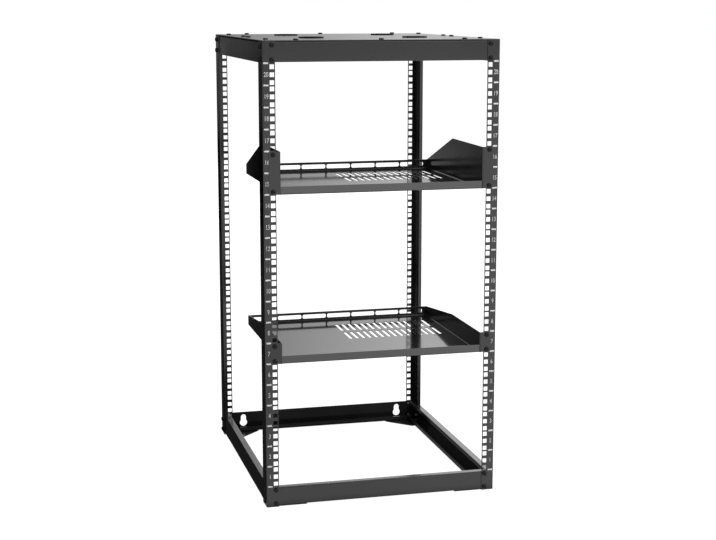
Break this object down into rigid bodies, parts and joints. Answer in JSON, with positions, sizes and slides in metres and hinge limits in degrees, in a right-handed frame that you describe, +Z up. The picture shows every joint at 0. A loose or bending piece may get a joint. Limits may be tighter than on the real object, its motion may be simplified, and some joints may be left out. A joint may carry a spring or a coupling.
{
  "type": "open-frame rack",
  "caption": "Open-frame equipment rack of square-holed uprights on a channel base, with eared shelves vented on one side and a flat top with round cable ports.",
  "frame": {"origin": "middle of the footprint at floor level", "axes": "+Z up, +Y toward the rear, +X to the right as seen from the front"},
  "size_m": [0.514, 0.6094, 0.9829],
  "materials": {
    "post": "fine black powder coat",
    "frame_channel": "fine black powder coat",
    "top_panel": "fine black powder coat",
    "shelf": "smooth black powder coat",
    "port_ring": "matte black moulding",
    "bolt": "black oxide"
  },
  "bodies": {
    "root": {"post_front_left_web": "post", "post_front_right_web": "post", "post_rear_left_web": "post", "post_rear_right_web": "post", "post_front_left_flange": "post", "post_front_right_flange": "post", "post_rear_left_flange": "post", "post_rear_right_flange": "post", "base_rail_left": "frame_channel", "base_rail_right": "frame_channel", "base_beam_front": "frame_channel", "base_beam_rear": "frame_channel", "corner_plate_front_left": "frame_channel", "corner_plate_front_right": "frame_channel", "corner_plate_rear_left": "frame_channel", "corner_plate_rear_right": "frame_channel", "top_rail_left": "frame_channel", "top_rail_right": "frame_channel", "top_beam_front": "frame_channel", "top_beam_rear": "frame_channel", "top_panel_front": "top_panel", "top_panel_rear": "top_panel", "port_rings_front": "port_ring", "port_rings_rear": "port_ring", "upper_shelf_tray": "shelf", "upper_shelf_left_side": "shelf", "upper_shelf_right_side": "shelf", "upper_shelf_rear_rail": "shelf", "upper_shelf_screws": "bolt", "lower_shelf_tray": "shelf", "lower_shelf_left_side": "shelf", "lower_shelf_right_side": "shelf", "lower_shelf_rear_rail": "shelf", "lower_shelf_screws": "bolt", "front_bolts": "bolt", "rear_bolts": "bolt", "left_bolts": "bolt", "right_bolts": "bolt"}
  },
  "joints": []
}
